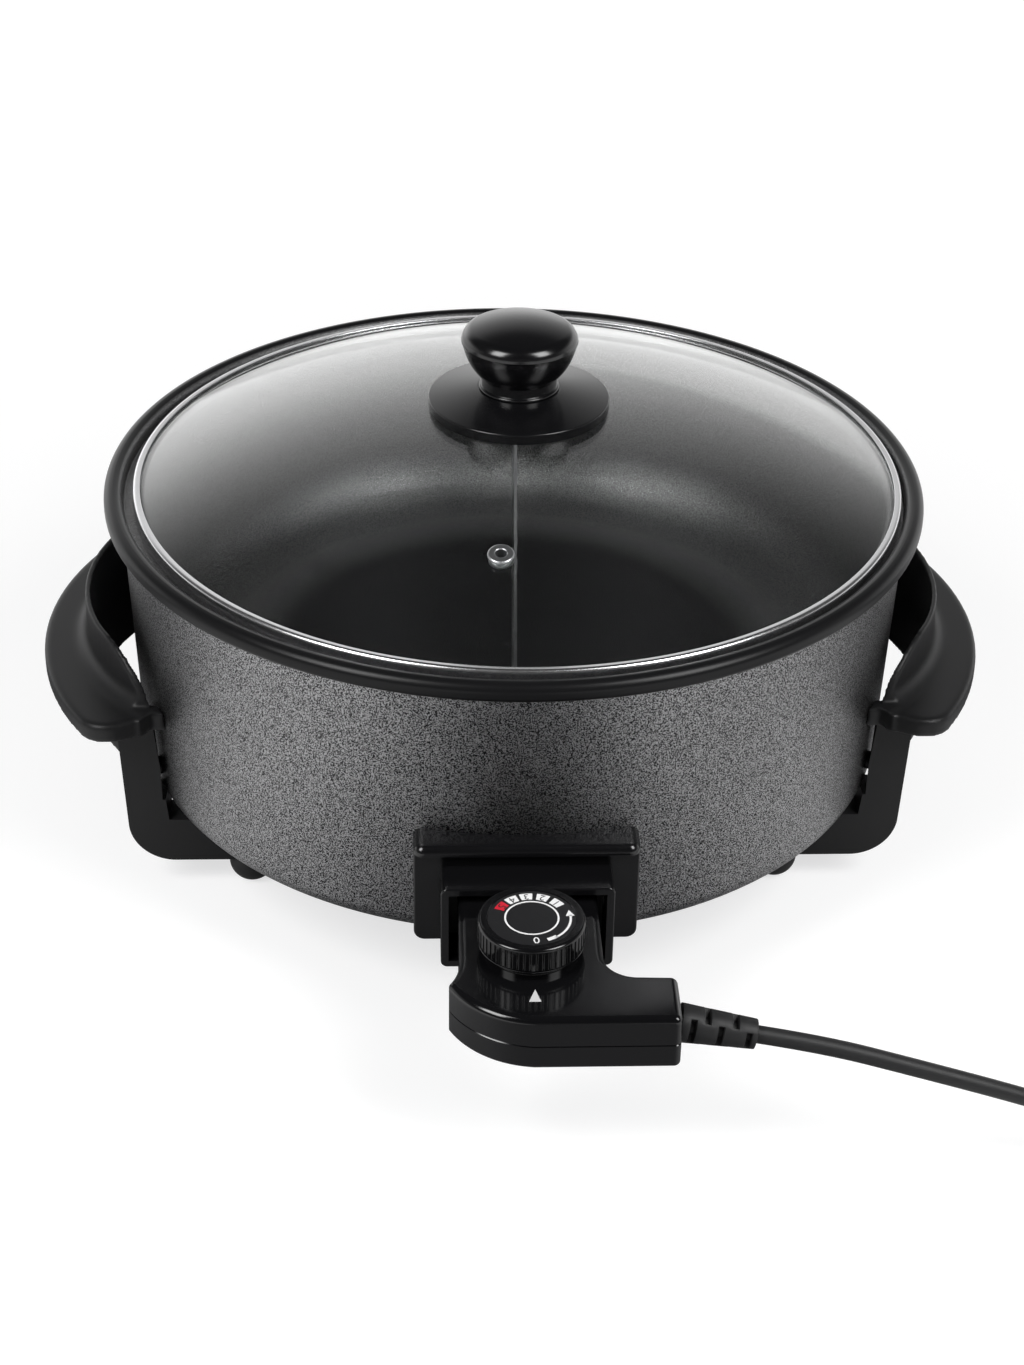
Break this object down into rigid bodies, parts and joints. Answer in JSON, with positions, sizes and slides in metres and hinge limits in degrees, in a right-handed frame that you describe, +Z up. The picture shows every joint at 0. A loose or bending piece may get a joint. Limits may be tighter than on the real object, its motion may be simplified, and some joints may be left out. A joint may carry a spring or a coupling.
{
  "type": "electric grill pan",
  "caption": "Round electric frying pan with a vented glass lid, divider plate, side handles on legs and a plug-in thermostat with dial, mains cord and plug.",
  "frame": {"origin": "on the surface it stands on, at the middle of the appliance's outline without its cord", "axes": "+Z up, -Y towards the plug-in thermostat at the front, +X towards the side its cord leaves"},
  "size_m": [0.6164, 0.495, 0.2716],
  "materials": {
    "nonstick": "pressed aluminium with a black satin non-stick coat",
    "hammertone": "grey hammertone paint",
    "black_plastic": "matt black phenolic",
    "gloss_plastic": "gloss black moulding",
    "dial_print": "black disc with white and red print",
    "steel": "bright steel",
    "zinc": "zinc plated fasteners",
    "aluminium": "cast aluminium",
    "glass": "clear toughened glass",
    "ceramic": "pale ceramic",
    "rubber": "black rubber",
    "silicone": "grey silicone",
    "cord_rubber": "black flexible sheath",
    "tie": "black band",
    "brass": "brass contact"
  },
  "bodies": {
    "pan": {"inner_pan": "nonstick", "casing": "hammertone", "heating_element": "steel", "heat_spreader": "aluminium", "probe_guide": "steel", "centre_stud": "zinc", "centre_nut": "zinc", "terminal_block": "black_plastic", "terminal_pins": "steel", "socket_housing": "gloss_plastic", "socket_sleeve": "gloss_plastic", "socket_screws": "zinc", "leg_front_right": "black_plastic", "leg_front_left": "black_plastic", "leg_back_right": "black_plastic", "leg_back_left": "black_plastic", "foot_front_right": "rubber", "foot_front_left": "rubber", "foot_back_right": "rubber", "foot_back_left": "rubber", "leg_screws": "zinc", "leg_nuts": "zinc", "wall_screws": "zinc", "handle_right": "black_plastic", "handle_left": "black_plastic"},
    "divider": {"divider_plate": "aluminium"},
    "lid": {"lid_glass": "glass", "lid_ring": "steel", "vent_grommet": "steel", "knob_gasket": "silicone", "knob_guard": "gloss_plastic", "knob_grip": "gloss_plastic", "knob_seat": "gloss_plastic", "knob_screw": "zinc"},
    "control": {"control_top_shell": "gloss_plastic", "control_bottom_shell": "gloss_plastic", "control_screws": "zinc", "contact_sleeves": "brass", "probe_rod": "steel", "thermostat_switch": "ceramic", "strain_relief": "rubber", "cord_run": "cord_rubber", "cord_coil": "cord_rubber", "cord_tail": "cord_rubber", "cord_tie": "tie", "plug_body": "rubber", "plug_pins": "steel"},
    "dial": {"dial_knob": "gloss_plastic", "dial_disc": "dial_print", "dial_shaft": "steel"}
  },
  "joints": [
    {"name": "divider_lift", "type": "slide", "parent": "pan", "child": "divider", "axis": [0, 0, 1], "range_m": [0, 0.12]},
    {"name": "lid_lift", "type": "slide", "parent": "divider", "child": "lid", "axis": [0, 0, 1], "range_m": [0, 0.25]},
    {"name": "control_plug", "type": "slide", "parent": "pan", "child": "control", "axis": [0, -1, 0], "range_m": [0, 0.08]},
    {"name": "dial_turn", "type": "hinge", "parent": "control", "child": "dial", "pos_m": [0, -0.2, 0.1], "axis": [0, 0, -1], "range_deg": [0, 245]}
  ]
}
